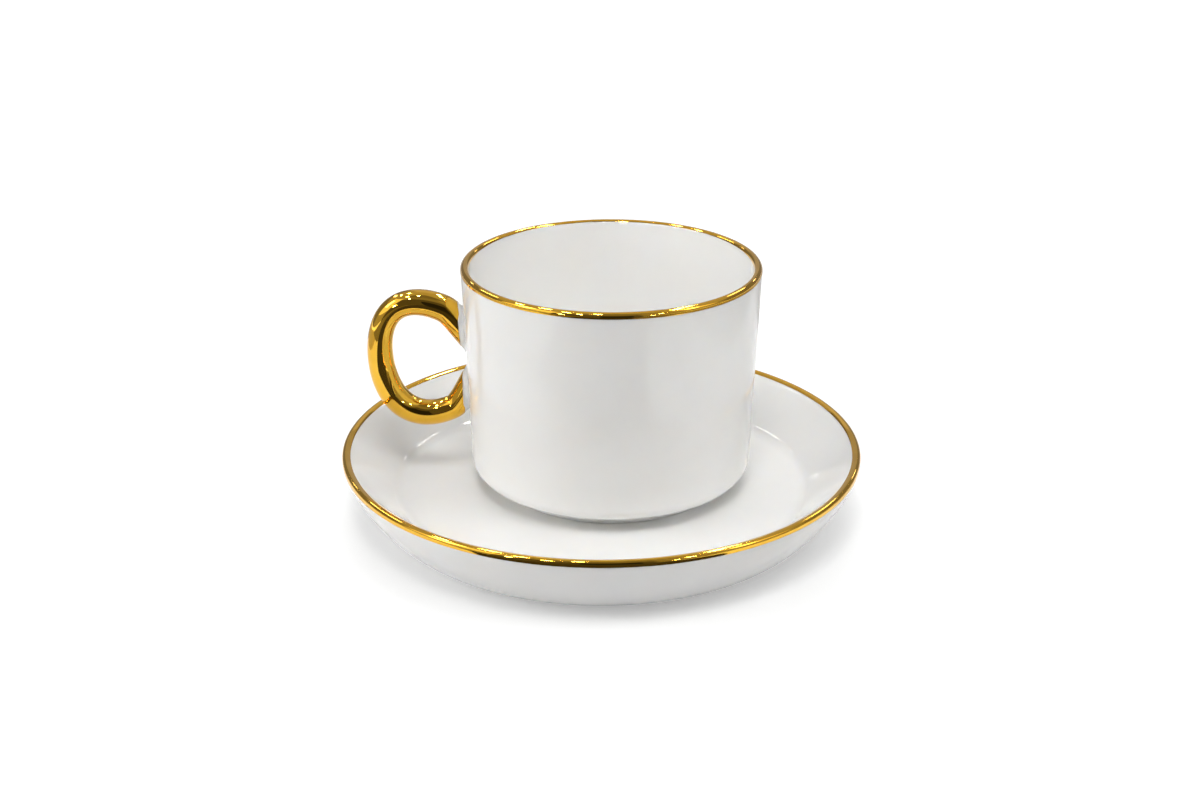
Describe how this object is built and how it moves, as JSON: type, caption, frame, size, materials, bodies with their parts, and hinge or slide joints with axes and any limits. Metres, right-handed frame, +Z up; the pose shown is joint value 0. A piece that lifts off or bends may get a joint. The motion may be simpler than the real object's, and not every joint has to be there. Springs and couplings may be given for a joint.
{
  "type": "teacup and saucer",
  "caption": "Straight-sided porcelain teacup with a gilded loop handle, standing in a deep coved saucer, with gilded rims on both.",
  "frame": {"origin": "middle of the saucer's foot ring, on the plane that it stands on", "axes": "+Z up; the handle points along -X; the pictured side faces -Y"},
  "size_m": [0.1449, 0.145, 0.0735],
  "materials": {
    "porcelain": "clear gloss glaze, bare and matt on the standing rings",
    "gold_lustre": "polished gold lustre fired over the glaze"
  },
  "bodies": {
    "saucer": {"saucer": "porcelain", "saucer_gold_rim": "gold_lustre"},
    "cup": {"cup": "porcelain", "cup_gold_rim": "gold_lustre", "handle": "porcelain", "handle_gold": "gold_lustre"}
  },
  "joints": [
    {"name": "cup_lift", "type": "slide", "parent": "saucer", "child": "cup", "axis": [0, 0, 1], "range_m": [0, 0.1]}
  ]
}
